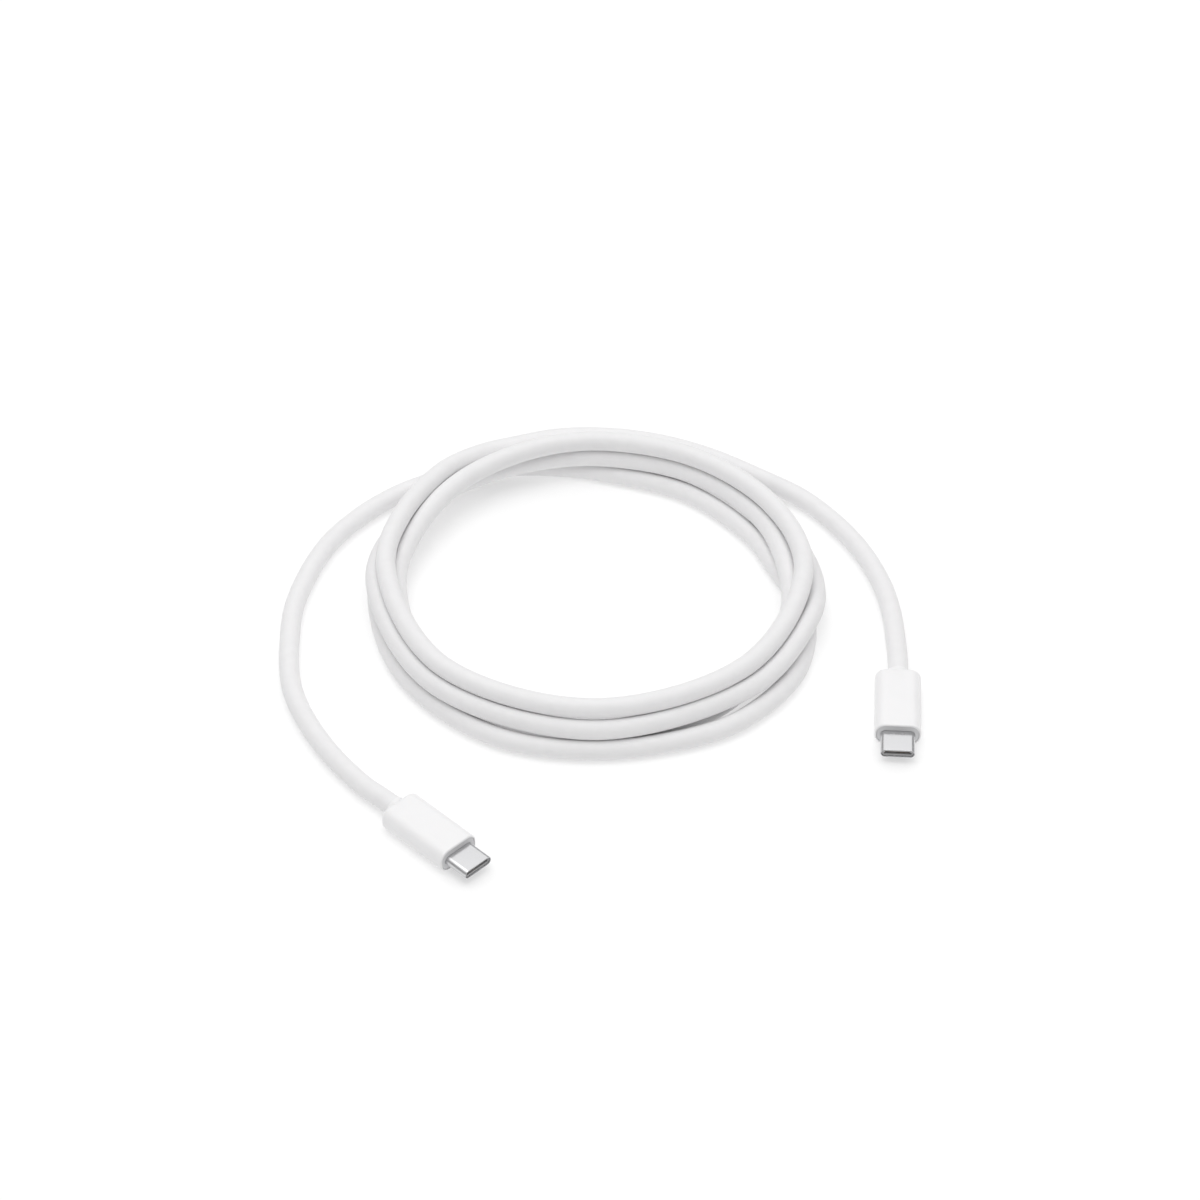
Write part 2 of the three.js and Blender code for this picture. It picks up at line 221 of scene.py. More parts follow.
@dataclass(frozen=True)
class Moulded(Finish):
    """Injection-moulded plastic with a faint spark-eroded grain and a soft cloudiness under the skin.

    Args:
        roughness: the middle of the roughness range.
        grain: the depth of the grain, in metres.
        glow: how much light enters the plastic and comes out beside where it fell.
    """

    # Waves per metre of the cloudiness, the polish and the grain.
    CLOUDS, SMEARS, PITS = 160, 900, 9000

    roughness: float = 0.35
    grain: float = 2e-6
    glow: float = 0.0

    def dress(self, graph: Graph) -> None:
        """Cloudy tint, uneven polish and grain."""
        cloud = graph.noise(graph.place(), self.CLOUDS, 2)
        polish = graph.noise(graph.place(), self.SMEARS, 4)
        grain = graph.noise(graph.place(), self.PITS, 2)
        graph.tint(graph.spread(cloud, 0, 1), self.colour, self.shade(0.985))
        graph.join(
            graph.spread(polish, self.roughness - 0.04, self.roughness + 0.04),
            graph.shader.inputs["Roughness"],
        )
        graph.bump([(grain, self.grain)])
        graph.set(IOR=1.49)
        if self.glow > 0:
            graph.set(
                Subsurface_Weight=self.glow,
                Subsurface_Radius=(1, 0.95, 0.9),
                Subsurface_Scale=0.6 * MM,
            )


@dataclass(frozen=True)
class Jacket(Finish):
    """The cord's soft extruded jacket: matte, with draw lines along it and a powdery bloom.

    Args:
        roughness: the middle of the roughness range.
        lines: how many draw lines lie round the cord.
        line_depth: the depth of the draw lines, in metres.
        grain: the depth of the grain, in metres.
    """

    # Waves per metre of the bloom, the grain and, along the cord, the draw lines.
    BLOOM, PITS, DRAWN = 420, 7000, 14

    roughness: float = 0.55
    lines: int = 90
    line_depth: float = 3e-6
    grain: float = 5e-6

    def dress(self, graph: Graph) -> None:
        """Draw lines from the cord's own UV map, and a bloom on Object coordinates."""
        uv = graph.add("ShaderNodeUVMap", uv_map=Cord.UV_NAME)
        along = graph.add("ShaderNodeMapping", vector_type="POINT")
        along.inputs["Scale"].default_value = (self.DRAWN, self.lines, 1)
        graph.join(uv.outputs["UV"], along.inputs["Vector"])
        lines = graph.noise(along.outputs["Vector"], 1, 2)
        bloom = graph.noise(graph.place(), self.BLOOM, 3)
        grain = graph.noise(graph.place(), self.PITS, 2)
        graph.tint(graph.spread(bloom, 0, 1), self.colour, self.shade(0.975))
        graph.join(
            graph.spread(bloom, self.roughness - 0.05, self.roughness + 0.07),
            graph.shader.inputs["Roughness"],
        )
        graph.bump([(lines, self.line_depth), (grain, self.grain)])
        graph.set(
            IOR=1.45,
            Subsurface_Weight=0.12,
            Subsurface_Radius=(1, 0.96, 0.92),
            Subsurface_Scale=0.5 * MM,
            Sheen_Weight=0.08,
            Sheen_Roughness=0.5,
        )


@dataclass(frozen=True)
class Stamped(Finish):
    """Sheet metal with fine rolling lines along one direction and slightly uneven polish.

    Args:
        roughness: the middle of the roughness range.
        heading: the direction of the rolling lines, in radians from +X.
        depth: the depth of the rolling lines, in metres.
    """

    # Waves per metre of the rolling lines along and across them, and of the polish.
    ALONG, ACROSS, SMUDGES = 500, 16000, 700

    roughness: float = 0.24
    heading: float = 0.0
    depth: float = 0.6e-6

    def dress(self, graph: Graph) -> None:
        """Rolling lines, smudged polish and a trace of colour between the lines."""
        lines = graph.noise(graph.place((self.ALONG, self.ACROSS, self.ACROSS), -self.heading), 1, 3)
        polish = graph.noise(graph.place(), self.SMUDGES, 4)
        graph.tint(graph.spread(lines, 0, 1), self.colour, self.shade(0.985))
        graph.join(
            graph.spread(polish, self.roughness - 0.03, self.roughness + 0.04),
            graph.shader.inputs["Roughness"],
        )
        graph.bump([(lines, self.depth)])
        graph.set(Metallic=1.0)


@dataclass(frozen=True)
class SolderMask(Finish):
    """A circuit board's lacquer over a faint glass weave.

    Args:
        depth: the depth of the weave, in metres.
    """

    # Waves per metre of the weave and of the blotches.
    WEAVE, BLOTCHES = 400, 900

    depth: float = 4e-6

    def dress(self, graph: Graph) -> None:
        """Weave from two crossed waves under a glossy lacquer."""
        heights = []
        for axis in ("X", "Y"):
            wave = graph.add("ShaderNodeTexWave", wave_type="BANDS", bands_direction=axis)
            wave.inputs["Scale"].default_value = self.WEAVE
            graph.join(graph.place(), wave.inputs["Vector"])
            heights.append((wave.outputs["Fac"], self.depth))
        blotch = graph.noise(graph.place(), self.BLOTCHES, 3)
        graph.tint(graph.spread(blotch, 0, 1), self.colour, self.shade(0.7))
        graph.bump(heights)
        graph.set(Roughness=0.3, Coat_Weight=0.5, Coat_Roughness=0.12)


@dataclass(frozen=True)
class PaperSweep(Finish):
    """The pale translucent paper that the cable lies on, lit a little from below.

    Args:
        glow: how bright the light from below is.
        tooth: the depth of the fibre tooth, in metres.
    """

    # Waves per metre of the cloudiness and of the fibres.
    CLOUDS, FIBRES = 8, 2600

    glow: float = 0.4
    tooth: float = 6e-6

    def dress(self, graph: Graph) -> None:
        """Fibre tooth and the faintest cloud of tone."""
        cloud = graph.noise(graph.place(), self.CLOUDS, 2)
        tooth = graph.noise(graph.place(), self.FIBRES, 3)
        graph.tint(graph.spread(cloud, 0, 1), self.colour, self.shade(0.997))
        graph.bump([(tooth, self.tooth)])
        graph.set(Roughness=0.9, Specular_IOR_Level=0.1)
        graph.set(Emission_Color=(1, 1, 1, 1), Emission_Strength=self.glow)


JACKET = Jacket("cord_jacket_soft_white", (0.855, 0.85, 0.855))
HOUSING = Moulded("housing_satin_white", (0.9, 0.895, 0.9), roughness=0.33, glow=0.15)
# The face plate's grey is partly the plate's own light grey and partly painted shade: it is darker than the
# housing to stand for the shade on the camera-facing front face.
FACE = Moulded("face_plate_grey_and_painted_shade", (0.70, 0.70, 0.71), roughness=0.42, glow=0.05)
COLLAR = Moulded("collar_white", (0.9, 0.895, 0.9), roughness=0.36, glow=0.15)
PAPER = PaperSweep("pale_paper", (0.62, 0.62, 0.62))
BY_SLOT: dict[str, Finish] = {
    "cord_jacket": JACKET,
    "housing_plastic": HOUSING,
    "cap_plastic": FACE,
    "collar_plastic": COLLAR,
    "mould_plastic": Moulded("inner_mould_cream", (0.78, 0.77, 0.75), roughness=0.5, grain=6e-6),
    "ferrule_metal": Stamped("ferrule_tinned", (0.72, 0.70, 0.66), roughness=0.3),
    "can_metal": Stamped("shield_can_tinned", (0.74, 0.74, 0.75), roughness=0.28),
    "shell_metal": Stamped("shell_steel", (0.62, 0.62, 0.63)),
    "card": SolderMask("board_lacquer", (0.03, 0.22, 0.12)),
    "chip": Moulded("chip_epoxy", (0.03, 0.03, 0.032), roughness=0.5, grain=6e-6),
    "insert_plastic": Moulded("insert_grey", (0.42, 0.42, 0.425), roughness=0.45),
    "contact_metal": Stamped("contacts_gold_plated", (0.93, 0.70, 0.34), roughness=0.22),
    "spring_metal": Stamped("spring_steel", (0.70, 0.70, 0.71), roughness=0.25),
    "vbus_insulation": Moulded("wire_red", (0.55, 0.03, 0.02), roughness=0.4),
    "ground_insulation": Moulded("wire_black", (0.02, 0.02, 0.02), roughness=0.4),
    "data_plus_insulation": Moulded("wire_green", (0.03, 0.34, 0.08), roughness=0.4),
    "data_minus_insulation": Moulded("wire_white", (0.82, 0.82, 0.80), roughness=0.4),
    "cc_insulation": Moulded("wire_blue", (0.03, 0.08, 0.45), roughness=0.4),
}


# ---------------------------------------------------------------- modelling by hand
class Part(Enum):
    """What a selection is made of."""

    EDGES = "EDGE"
    FACES = "FACE"


class Bench:
    """The workbench: one mesh at a time, shaped with Blender's own operators."""

    PARALLEL = 0.99  # the least cosine between two directions that count as one
    SAME = 1e-6  # the most that two places that count as one lie apart, in metres

    @staticmethod
    def clear() -> None:
        """Deselects every object."""
        if bpy.context.object is not None and bpy.context.object.mode != "OBJECT":
            bpy.ops.object.mode_set(mode="OBJECT")
        bpy.ops.object.select_all(action="DESELECT")

    @classmethod
    def take(cls, obj: bpy.types.Object) -> None:
        """Makes one piece the only one selected and the active one."""
        cls.clear()
        obj.select_set(True)
        bpy.context.view_layer.objects.active = obj

    @classmethod
    def block(cls, name: str, low: Point, high: Point) -> bpy.types.Object:
        """Starts a piece as a block between two corners, left open in edit mode.

        Args:
            name: the piece's name.
            low: its lowest corner.
            high: its highest corner.

        Returns:
            The new object.
        """
        cls.clear()
        size = Vector(high) - Vector(low)
        centre = (Vector(high) + Vector(low)) / 2
        bpy.ops.mesh.primitive_cube_add(size=1, location=(0, 0, 0))
        obj = bpy.context.object
        obj.name = obj.data.name = name
        bpy.ops.object.mode_set(mode="EDIT")
        bpy.ops.mesh.select_all(action="SELECT")
        bpy.ops.transform.resize(value=size)
        bpy.ops.transform.translate(value=centre)
        return obj

    @classmethod
    def disc(cls, name: str, radius: float, at: float, sides: int = 64) -> bpy.types.Object:
        """Starts a piece as a filled disc across the X axis, left open in edit mode.

        Args:
            name: the piece's name.
            radius: the disc's radius.
            at: its place along X.
            sides: how many corners it has.

        Returns:
            The new object.
        """
        cls.clear()
        bpy.ops.mesh.primitive_circle_add(
            vertices=sides, radius=radius, fill_type="NGON", location=(0, 0, 0), rotation=(0, math.pi / 2, 0)
        )
        obj = bpy.context.object
        obj.name = obj.data.name = name
        bpy.ops.object.transform_apply(location=True, rotation=True, scale=True)
        bpy.ops.object.mode_set(mode="EDIT")
        bpy.ops.mesh.select_all(action="SELECT")
        bpy.ops.transform.translate(value=(at, 0, 0))
        return obj

    @staticmethod
    def pick(obj: bpy.types.Object, part: Part, test: Callable[[Any], bool]) -> int:
        """Selects just the elements that pass a test.

        Args:
            obj: the piece, in edit mode.
            part: what to select.
            test: says whether an element is wanted.

        Returns:
            How many were selected.
        """
        bpy.ops.mesh.select_all(action="DESELECT")
        bpy.ops.mesh.select_mode(type=part.value)
        mesh = bmesh.from_edit_mesh(obj.data)
        mesh.normal_update()
        pool = {Part.EDGES: mesh.edges, Part.FACES: mesh.faces}[part]
        chosen = [element for element in pool if test(element)]
        for element in chosen:
            element.select_set(True)
        mesh.select_flush_mode()
        bmesh.update_edit_mesh(obj.data)
        return len(chosen)

    @classmethod
    def runs_along_x(cls, edge: bmesh.types.BMEdge) -> bool:
        """Whether an edge lies along the plug's axis."""
        run = edge.verts[1].co - edge.verts[0].co
        return abs(run.x) > cls.PARALLEL * run.length

    @classmethod
    def rim_at(cls, x: float) -> Callable[[bmesh.types.BMEdge], bool]:
        """A test for the edges that lie wholly at one place along X."""
        return lambda edge: all(abs(v.co.x - x) < cls.SAME for v in edge.verts)

    @classmethod
    def cap_at(cls, x: float) -> Callable[[bmesh.types.BMFace], bool]:
        """A test for the flat face at one place along X that looks along +X."""
        return lambda face: (
            face.normal.x > cls.PARALLEL and abs(face.calc_center_median().x - x) < cls.SAME
        )

    @staticmethod
    def draw_out(length: float) -> None:
        """Extrudes the selected face by a length along +X."""
        bpy.ops.mesh.extrude_region_move(TRANSFORM_OT_translate={"value": (length, 0, 0)})

    @classmethod
    def hollow(cls, wall: float, depth: float) -> None:
        """Insets the selected end face by a wall and pushes it in by a depth along -X."""
        bpy.ops.mesh.inset(thickness=wall, depth=0)
        cls.draw_out(-depth)

    @staticmethod
    def round_off(offset: float, segments: int) -> None:
        """Bevels the selected edges."""
        bpy.ops.mesh.bevel(offset=offset, segments=segments, profile=0.5, affect="EDGES")

    @classmethod
    def weld(cls) -> None:
        """Merges corners that lie at the same place."""
        bpy.ops.mesh.select_all(action="SELECT")
        bpy.ops.mesh.remove_doubles(threshold=cls.SAME)

    @classmethod
    def close(cls, obj: bpy.types.Object, smooth_to: float = SMOOTH_TO) -> None:
        """Leaves edit mode with clean outward normals and smooth shading up to an angle in degrees."""
        cls.weld()
        bpy.ops.mesh.normals_make_consistent(inside=False)
        bpy.ops.object.mode_set(mode="OBJECT")
        bpy.ops.object.shade_smooth_by_angle(angle=math.radians(smooth_to))

    @classmethod
    def cut(cls, obj: bpy.types.Object, tool: bpy.types.Object) -> None:
        """Cuts a tool out of a piece and removes the tool."""
        cls.take(obj)
        modifier = obj.modifiers.new("cut", "BOOLEAN")
        modifier.object = tool
        modifier.operation = "DIFFERENCE"
        modifier.solver = "EXACT"
        bpy.ops.object.modifier_apply(modifier=modifier.name)
        bpy.data.objects.remove(tool, do_unlink=True)
        bpy.ops.object.shade_smooth_by_angle(angle=math.radians(SMOOTH_TO))

    @classmethod
    def settle(cls, obj: bpy.types.Object, place: Matrix) -> None:
        """Moves a finished piece to its place and applies it, so that the object sits at the origin."""
        cls.take(obj)
        obj.matrix_world = place
        bpy.ops.object.transform_apply(location=True, rotation=True, scale=True)


# ---------------------------------------------------------------- the plugs
@dataclass
class Plug:
    """One plug: housing, face plate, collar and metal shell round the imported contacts.

    It is modelled with its rear face at x = 0 and its mouth at +x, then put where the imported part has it.

    Args:
        side: "left" or "right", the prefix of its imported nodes.
        record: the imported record, which holds the mouth's place.
    """

    SLIVER = 1e-7  # the flat left between two full rounds, in metres

    side: str
    record: dict[str, Any]
    length: float = 21.0 * MM
    width: float = 11.3 * MM
    height: float = 6.4 * MM
    corner: float = 2.75 * MM
    rear_round: float = 1.5 * MM
    front_round: float = 0.4 * MM
    wall: float = 0.5 * MM
    rear_wall: float = 1.6 * MM
    face_recess: float = 0.08 * MM
    face_depth: float = 2.0 * MM
    face_round: float = 0.12 * MM
    shell_width: float = 8.25 * MM
    shell_height: float = 2.4 * MM
    shell_wall: float = 0.2 * MM
    shell_reach: float = 6.65 * MM
    shell_buried: float = 6.6 * MM
    lip_round: float = 0.07 * MM
    gap: float = 0.05 * MM
    collar_radius: float = 2.85 * MM
    collar_proud: float = 0.8 * MM
    collar_round: float = 0.22 * MM
    cord_radius: float = 2.5 * MM
    cord_gap: float = 0.04 * MM

    @property
    def mouth(self) -> dict[str, Any]:
        """The record's mount at this plug's mouth."""
        return next(m for m in self.record["mounts"] if m["name"] == f"{self.side}_plug_mouth")

    @property
    def heading(self) -> float:
        """The way the mouth points, in radians from +X."""
        return math.atan2(self.mouth["axis"][1], self.mouth["axis"][0])

    @property
    def place(self) -> Matrix:
        """From the plug's own frame to the part's."""
        axis = Vector((math.cos(self.heading), math.sin(self.heading), 0))
        tip = Vector(self.mouth["pos_m"])
        rear = tip - axis * (self.length + self.shell_reach)
        rear.z = self.height / 2
        return Matrix.Translation(rear) @ Matrix.Rotation(self.heading, 4, "Z")

    def point(self, x: float) -> Vector:
        """The point on the plug's axis at x, in the part's frame."""
        return self.place @ Vector((x, 0, 0))

    @staticmethod
    def rounded_block(
        name: str, x0: float, x1: float, width: float, height: float, corner: float
    ) -> bpy.types.Object:
        """A block along the axis with its four long edges rounded, left in edit mode."""
        obj = Bench.block(name, (x0, -width / 2, -height / 2), (x1, width / 2, height / 2))
        Bench.pick(obj, Part.EDGES, Bench.runs_along_x)
        Bench.round_off(min(corner, height / 2 - Plug.SLIVER, width / 2 - Plug.SLIVER), 12)
        Bench.weld()
        return obj

    def housing(self) -> bpy.types.Object:
        """The white moulded sleeve, soft at the back and crisp at the front."""
        obj = self.rounded_block(
            f"{self.side}_plug_housing", 0, self.length, self.width, self.height, self.corner
        )
        Bench.pick(obj, Part.EDGES, Bench.rim_at(0))
        Bench.round_off(self.rear_round, 8)
        Bench.pick(obj, Part.EDGES, Bench.rim_at(self.length))
        Bench.round_off(self.front_round, 5)
        Bench.pick(obj, Part.FACES, Bench.cap_at(self.length))
        Bench.hollow(self.wall - self.front_round, self.length - self.rear_wall)
        Bench.close(obj)
        self.bore(obj, self.collar_radius + self.gap, 0, self.rear_wall)
        return obj

    @staticmethod
    def bore(obj: bpy.types.Object, radius: float, start: float, end: float) -> None:
        """Drills a round hole along the axis through what lies between start and end."""
        tool = Bench.disc("bore", radius, start - OVERSHOOT)
        Bench.draw_out(end - start + 2 * OVERSHOOT)
        Bench.close(tool)
        Bench.cut(obj, tool)

    def face(self) -> bpy.types.Object:
        """The end plate that closes the housing's front round the metal."""
        inset = self.wall + self.gap
        front = self.length - self.face_recess
        obj = self.rounded_block(
            f"{self.side}_plug_face",
            front - self.face_depth,
            front,
            self.width - 2 * inset,
            self.height - 2 * inset,
            self.corner - inset,
        )
        Bench.pick(obj, Part.EDGES, Bench.rim_at(front))
        Bench.round_off(self.face_round, 3)
        Bench.close(obj)
        slot = self.rounded_block(
            "slot",
            front - 2 * self.face_depth,
            front + self.face_depth,
            self.shell_width + 2 * self.gap,
            self.shell_height + 2 * self.gap,
            self.shell_height,
        )
        Bench.close(slot)
        Bench.cut(obj, slot)
        return obj

    def shell(self) -> bpy.types.Object:
        """The metal tube that goes into a socket, open at its mouth, with a softened lip."""
        tip = self.length + self.shell_reach
        rear = self.length - self.shell_buried
        obj = self.rounded_block(
            f"{self.side}_plug_metal", rear, tip, self.shell_width, self.shell_height, self.shell_height
        )
        Bench.pick(obj, Part.FACES, Bench.cap_at(tip))
        Bench.hollow(self.shell_wall, tip - rear - self.gap)
        Bench.pick(obj, Part.EDGES, Bench.rim_at(tip))
        Bench.round_off(self.lip_round, 3)
        Bench.pick(
            obj,
            Part.FACES,
            lambda f: abs(f.normal.x) > Bench.PARALLEL and f.calc_center_median().x < rear + 2 * self.gap,
        )
        bpy.ops.mesh.delete(type="FACE")
        Bench.pick(obj, Part.EDGES, lambda e: e.is_boundary)
        bpy.ops.mesh.bridge_edge_loops()
        Bench.close(obj, 35)
        return obj

    def collar(self) -> bpy.types.Object:
        """The turned ring that the cord goes into, with a rolled outer edge."""
        rear, inner = -self.collar_proud, self.rear_wall
        obj = Bench.disc(f"{self.side}_plug_collar", self.collar_radius, rear)
        Bench.draw_out(inner - rear)
        Bench.pick(obj, Part.EDGES, Bench.rim_at(rear))
        Bench.round_off(self.collar_round, 4)
        Bench.close(obj)
        self.bore(obj, self.cord_radius + self.cord_gap, rear, inner)
        return obj

    def build(self) -> None:
        """Makes the four pieces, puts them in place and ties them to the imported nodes."""
        steel = replace(BY_SLOT["shell_metal"], name=f"{self.side}_shell_steel", heading=self.heading)
        plan = [
            (self.housing, HOUSING, "housing_sleeve", "housing_plastic"),
            (self.face, FACE, "front_cap", "cap_plastic"),
            (self.shell, steel, "plug_shell", "shell_metal"),
            (self.collar, COLLAR, "strain_relief_collar", "collar_plastic"),
        ]
        for make, finish, node, slot in plan:
            piece = make()
            Bench.settle(piece, self.place)
            piece.data.materials.clear()
            piece.data.materials.append(finish.material())
            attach(piece, BODY)
            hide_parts(f"{self.side}_{node}")
            LOG.info("%s: %d faces", piece.name, len(piece.data.polygons))


# ---------------------------------------------------------------- the cord
@dataclass
class Cord:
    """The cord from plug to plug: two free tails and four turns of a loose coil.

    Args:
        left: the plug at its start.
        right: the plug at its end.
    """

    UV_NAME = "along_the_cord"
    HELD = 4  # how many rings at each end stay where they are when the strands push
    SMOOTH_TO = 50.0  # the sharpest angle, in degrees, that is shaded as a curve

    left: Plug
    right: Plug
    diameter: float = 5.0 * MM
    length: float = 1.64
    centre: tuple[float, float] = (-15.1 * MM, 64.8 * MM)
    ring_step: float = 1.7 * MM
    sides: int = 32
    plunge: float = 1.2 * MM
    mouth: float = 0.3 * MM
    straight: float = 5.0 * MM
    droop: float = 0.15 * MM
    near: float = 2.4  # how many diameters along the cord count as one stretch, which can't touch itself
    # The free tails, the left one from plug to coil and the right one from coil to plug, in mm.
    left_tail: tuple[Point, ...] = (
        (-70.0, -3.7, 2.7),
        (-80.4, 10.6, 2.55),
        (-88.6, 29.2, 2.55),
        (-90.6, 48.8, 2.55),
        (-89.8, 63.6, 2.55),
        (-83.4, 84.2, 2.55),
        (-75.1, 96.4, 2.55),
        (-66.2, 104.8, 2.55),
    )
    right_tail: tuple[Point, ...] = (
        (38.6, 103.4, 2.7),
        (47.4, 92.6, 2.55),
        (53.4, 81.6, 2.55),
        (57.6, 69.0, 2.55),
        (59.3, 58.4, 2.55),
        (59.8, 46.2, 2.65),
    )
    # The coil's turns, clockwise from the back: degrees, radius and height of each station, in mm.
    turns: tuple[tuple[Point, ...], ...] = (
        ((-46, 63, 2.5), (-36, 60.5, 2.5), (-26, 57.2, 2.5), (-16, 54, 2.5), (-8, 51.8, 2.5)),
        (
            (0, 50, 2.5), (30, 47.6, 2.5), (60, 46.9, 2.5), (75, 47.3, 2.5), (90, 50.7, 2.5),
            (97, 52.6, 2.5), (105, 54.9, 2.5), (120, 57.3, 2.5), (135, 57.9, 2.5), (150, 57.6, 2.5),
            (180, 56.2, 2.5), (205, 56.6, 2.5), (237, 55, 2.5), (270, 54.5, 2.5), (292, 54.8, 2.5),
            (315, 56.4, 3.1), (327, 57, 6.7), (338, 58.2, 7.2), (349, 57.2, 5.8),
        ),
        (
            (0, 55.1, 4.8), (15, 55.5, 3.2), (30, 55.8, 2.6), (60, 55.6, 2.5), (75, 55.6, 2.6),
            (90, 55.5, 4.8), (105, 55.2, 7.3), (135, 54.6, 7.3), (180, 54.2, 7.1), (225, 54.3, 7.2),
            (270, 54.8, 7.4), (292, 54.2, 7.2), (315, 53.1, 6.6), (338, 51, 6.9),
        ),
        (
            (0, 49.9, 7.3), (30, 50, 7.2), (60, 49.6, 7), (90, 49.2, 7.3), (105, 50.2, 6.8),
            (120, 50.8, 4.6), (150, 51.8, 2.7), (180, 51.2, 2.5), (225, 50.9, 2.6), (270, 49.6, 5.5),
            (292, 49.6, 8.2), (315, 49.9, 10.4), (338, 49.8, 11.8),
        ),
        (
            (0, 50.2, 12), (30, 50.9, 11.9), (60, 51.8, 11.6), (90, 52.4, 11.4), (135, 51.6, 11.4),
            (180, 51.3, 11.3), (225, 51.6, 11.4), (270, 52.1, 11.4), (292, 53, 11.7),
            (315, 54.9, 11.4), (327, 54.8, 11.2), (338, 54.6, 10.4), (349, 54.8, 10.3),
        ),
        ((0, 55.4, 9.6), (15, 56, 9), (30, 58.2, 7.2), (45, 61.8, 4.8)),
    )

    def coil(self) -> list[Point]:
        """The stations of every turn, in the part's frame and in metres."""
        points = []
        for stations in self.turns:
            for degrees, radius, height in stations:
                angle = math.radians(degrees)
                x = self.centre[0] + radius * MM * math.sin(angle)
                y = self.centre[1] + radius * MM * math.cos(angle)
                points.append((x, y, height * MM))
        return points

    def leaving(self, plug: Plug) -> list[Point]:
        """The cord's end inside a plug's collar and the straight lead behind it."""
        end = plug.point(-plug.collar_proud + self.plunge)
        mouth = plug.point(-plug.collar_proud - self.mouth)
        lead = plug.point(-self.straight)
        return [tuple(end), tuple(mouth), (lead.x, lead.y, lead.z - self.droop)]

    def stations(self) -> np.ndarray:
        """Every point the route goes through, from the left plug to the right one."""
        left = [tuple(c * MM for c in p) for p in self.left_tail]
        right = [tuple(c * MM for c in p) for p in self.right_tail]
        leads = self.leaving(self.left), self.leaving(self.right)[::-1]
        return np.array([*leads[0], *left, *self.coil(), *right, *leads[1]])

    @staticmethod
    def smooth(points: np.ndarray, per_span: int = 40) -> np.ndarray:
        """One centripetal curve through all the points.

        Args:
            points: the points to go through.
            per_span: how many samples lie between two of them.

        Returns:
            The samples.
        """
        padded = np.vstack([2 * points[0] - points[1], points, 2 * points[-1] - points[-2]])
        spans = []
        for a, b, c, d in zip(padded, padded[1:], padded[2:], padded[3:]):
            knots = np.cumsum([0.0] + [math.sqrt(np.linalg.norm(q - p)) for p, q in ((a, b), (b, c), (c, d))])
            t0, t1, t2, t3 = knots
            t = np.linspace(t1, t2, per_span, endpoint=False)[:, None]
            ab = (t1 - t) / (t1 - t0) * a + (t - t0) / (t1 - t0) * b
            bc = (t2 - t) / (t2 - t1) * b + (t - t1) / (t2 - t1) * c
            cd = (t3 - t) / (t3 - t2) * c + (t - t2) / (t3 - t2) * d
            abc = (t2 - t) / (t2 - t0) * ab + (t - t0) / (t2 - t0) * bc
            bcd = (t3 - t) / (t3 - t1) * bc + (t - t1) / (t3 - t1) * cd
            spans.append((t2 - t) / (t2 - t1) * abc + (t - t1) / (t2 - t1) * bcd)
        return np.vstack([*spans, points[-1:]])

    def even(self, line: np.ndarray) -> np.ndarray:
        """The same line with samples a ring's step apart."""
        run = np.concatenate([[0.0], np.cumsum(np.linalg.norm(np.diff(line, axis=0), axis=1))])
        count = round(run[-1] / self.ring_step)
        wanted = np.linspace(0, run[-1], count + 1)
        return np.column_stack([np.interp(wanted, run, line[:, k]) for k in range(3)])

    def press_apart(self, line: np.ndarray, rounds: int = 80) -> np.ndarray:
        """Lets the strands push each other to a diameter apart, as they do where they lie on each other.

        Args:
            line: the even samples.
            rounds: how many times the strands push.

        Returns:
            The moved samples, never lower than the table allows.
        """
        index = np.arange(len(line))
        beside = np.abs(index[:, None] - index[None]) * self.ring_step < self.near * self.diameter
        moved = line.copy()
        for _ in range(rounds):
            away = moved[:, None] - moved[None]
            distance = np.linalg.norm(away, axis=2)
            distance[beside] = 1.0
            lack = np.maximum(self.diameter - distance, 0) / distance
            touching = np.maximum((lack > 0).sum(axis=1), 1)[:, None]
            shift = moved + 0.5 * (lack[:, :, None] * away).sum(axis=1) / touching - line
            for _ in range(3):
                shift[1:-1] = (shift[:-2] + 2 * shift[1:-1] + shift[2:]) / 4
                shift[: self.HELD] = shift[-self.HELD :] = 0
            moved = line + shift
            moved[:, 2] = np.maximum(moved[:, 2], self.diameter / 2)
        return moved

    def tube(self, line: np.ndarray) -> bpy.types.Object:
        """Lofts rings along a line into a closed tube with a UV map.

        Args:
            line: the rings' centres.

        Returns:
            The new object. U runs along the cord in metres and V once round it.
        """
        tangent = np.gradient(line, axis=0)
        tangent /= np.linalg.norm(tangent, axis=1)[:, None]
        beside = np.cross(tangent, (0, 0, 1))
        beside /= np.linalg.norm(beside, axis=1)[:, None]
        above = np.cross(beside, tangent)
        angles = np.linspace(0, 2 * math.pi, self.sides, endpoint=False)
        cosines, sines = np.cos(angles)[None, :, None], np.sin(angles)[None, :, None]
        offsets = cosines * beside[:, None] + sines * above[:, None]
        verts = (line[:, None] + offsets * self.diameter / 2).reshape(-1, 3)
        rings, sides = len(line), self.sides
        faces, uvs = [], []
        for ring in range(rings - 1):
            for side in range(sides):
                after = (side + 1) % sides
                faces.append([ring * sides + side, ring * sides + after,
                              (ring + 1) * sides + after, (ring + 1) * sides + side])
                u0, u1 = ring * self.ring_step, (ring + 1) * self.ring_step
                v0, v1 = side / sides, (side + 1) / sides
                uvs += [(u0, v0), (u0, v1), (u1, v1), (u1, v0)]
        ends = [list(range(sides))[::-1], [(rings - 1) * sides + side for side in range(sides)]]
        mesh = bpy.data.meshes.new("charging_cord")
        mesh.from_pydata(verts.tolist(), [], faces + ends)
        layer = mesh.uv_layers.new(name=self.UV_NAME)
        uvs += [(0.0, 0.0)] * (2 * sides)
        layer.data.foreach_set("uv", np.array(uvs).ravel())
        obj = bpy.data.objects.new("charging_cord", mesh)
        bpy.context.scene.collection.objects.link(obj)
        Bench.take(obj)
        bpy.ops.object.mode_set(mode="EDIT")
        bpy.ops.mesh.select_all(action="SELECT")
        bpy.ops.mesh.normals_make_consistent(inside=False)
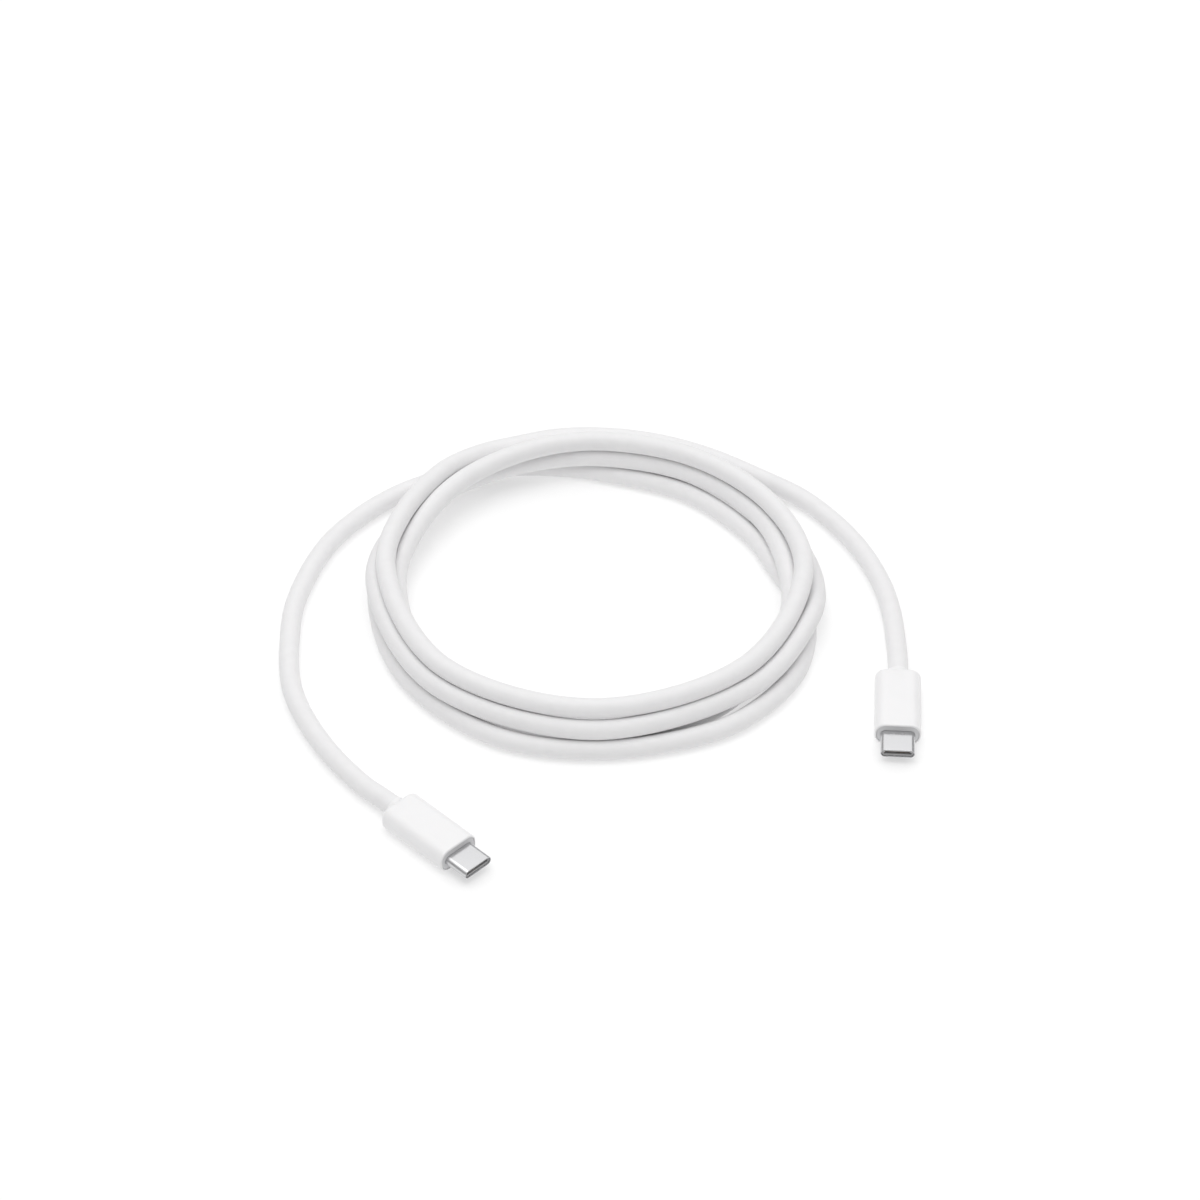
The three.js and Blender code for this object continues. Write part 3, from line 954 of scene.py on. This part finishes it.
        bpy.ops.object.mode_set(mode="OBJECT")
        bpy.ops.object.shade_smooth_by_angle(angle=math.radians(self.SMOOTH_TO))
        return obj

    def build(self) -> bpy.types.Object:
        """Returns:
            The cord's object.
        """
        line = self.press_apart(self.even(self.smooth(self.stations())))
        obj = self.tube(line)
        obj.data.materials.append(JACKET.material())
        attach(obj, BODY)
        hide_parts("cord_coil", "left_cord_tail", "right_cord_tail")
        tuple(self.left.point(-self.left.collar_proud))
        run = float(np.linalg.norm(np.diff(line, axis=0), axis=1).sum())
        LOG.info("charging_cord: %.3f m in %d rings", run, len(line))
        return obj


# ---------------------------------------------------------------- the studio
@dataclass(frozen=True)
class Softbox:
    """A square area light, placed from the middle of the scene.

    Args:
        name: the light's name.
        at: where it hangs.
        to: the point it faces.
        size: the length of its side.
        watts: its power.
    """

    name: str
    at: Point
    to: Point
    size: float
    watts: float

    def hang(self, middle: Point) -> None:
        """Adds the light to the scene."""
        at, to = (tuple(m + c for m, c in zip(middle, offset)) for offset in (self.at, self.to))
        data = bpy.data.lights.new(self.name, "AREA")
        data.shape, data.size, data.energy = "SQUARE", self.size, self.watts
        obj = bpy.data.objects.new(self.name, data)
        obj.location = at
        obj.rotation_euler = (Vector(to) - Vector(at)).to_track_quat("-Z", "Y").to_euler()
        bpy.context.scene.collection.objects.link(obj)


@dataclass
class Studio:
    """Camera, pale paper and soft light.

    Args:
        target: the point the camera looks at.
        distance: how far the camera stands from it.
        elevation: the camera's height above the horizon, in degrees.
        lens: the focal length on a 36 mm sensor, in millimetres.
        sheet: the length of the paper's side.
        sheet_drop: how far the paper lies under the cable, so that the two never share a plane.
        room: how bright the room round the lights is.
    """

    SOFTBOXES = (
        Softbox("broad_softbox", (0, 0.5, 1.5), (0, 0.5, 0), 3.0, 22.0),
        Softbox("key_softbox", (-0.1, -0.1, 1.45), (0, 0, 0), 0.9, 4.2),
    )

    target: Point = (-13.6 * MM, 66.1 * MM, 0.0)
    distance: float = 0.9
    elevation: float = 41.0
    lens: float = 106.95
    sheet: float = 6.0
    sheet_drop: float = 0.02 * MM
    room: float = 0.45

    def camera(self) -> None:
        """A long lens looking down along +Y."""
        rise = math.radians(self.elevation)
        back = Vector((0, -math.cos(rise), math.sin(rise)))
        data = bpy.data.cameras.new("camera")
        data.lens, data.sensor_width = self.lens, 36.0
        data.clip_start, data.clip_end = 0.05, 20.0
        obj = bpy.data.objects.new("camera", data)
        obj.location = Vector(self.target) + back * self.distance
        obj.rotation_euler = (-back).to_track_quat("-Z", "Y").to_euler()
        bpy.context.scene.collection.objects.link(obj)
        bpy.context.scene.camera = obj

    def paper(self) -> None:
        """A wide flat sheet under the cable."""
        Bench.clear()
        bpy.ops.mesh.primitive_plane_add(size=self.sheet, location=(0, 0, -self.sheet_drop))
        obj = bpy.context.object
        obj.name = "paper_sweep"
        obj.data.materials.append(PAPER.material())

    def light(self) -> None:
        """A broad dim softbox overhead, a smaller brighter one in it, and a dim room round them."""
        for softbox in self.SOFTBOXES:
            softbox.hang(self.target)
        world = bpy.data.worlds.new("room")
        world.use_nodes = True
        room = world.node_tree.nodes["Background"]
        room.inputs["Color"].default_value = (1, 1, 1, 1)
        room.inputs["Strength"].default_value = self.room
        bpy.context.scene.world = world
        bpy.context.scene.view_settings.view_transform = "Standard"

    def build(self) -> None:
        """Paper and lights; the camera is made earlier, before the cord."""
        self.paper()
        self.light()


# ---------------------------------------------------------------- all of it
def dress_packed_nodes(frame: dict[str, Any]) -> None:
    """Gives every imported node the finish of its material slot.
    """
    slots = {row["node"]: row["material_slot"] for row in frame["record"]["subparts"]}
    for name, obj in frame["nodes"].items():
        obj.data.materials.clear()
        obj.data.materials.append(BY_SLOT[slots[name]].material())
    LOG.info("dressed %d packed nodes", len(frame["nodes"]))


def main() -> None:
    """Builds the camera and the cord, then the plugs, the finishes and the studio."""
    logging.basicConfig(level=logging.INFO, format="%(name)s: %(message)s")
    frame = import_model()
    studio = Studio()
    studio.camera()
    plugs = [Plug(side, frame["record"]) for side in ("left", "right")]
    Cord(*plugs).build()
    for plug in plugs:
        plug.build()
    dress_packed_nodes(frame)
    studio.build()


if __name__ == "__main__":
    main()
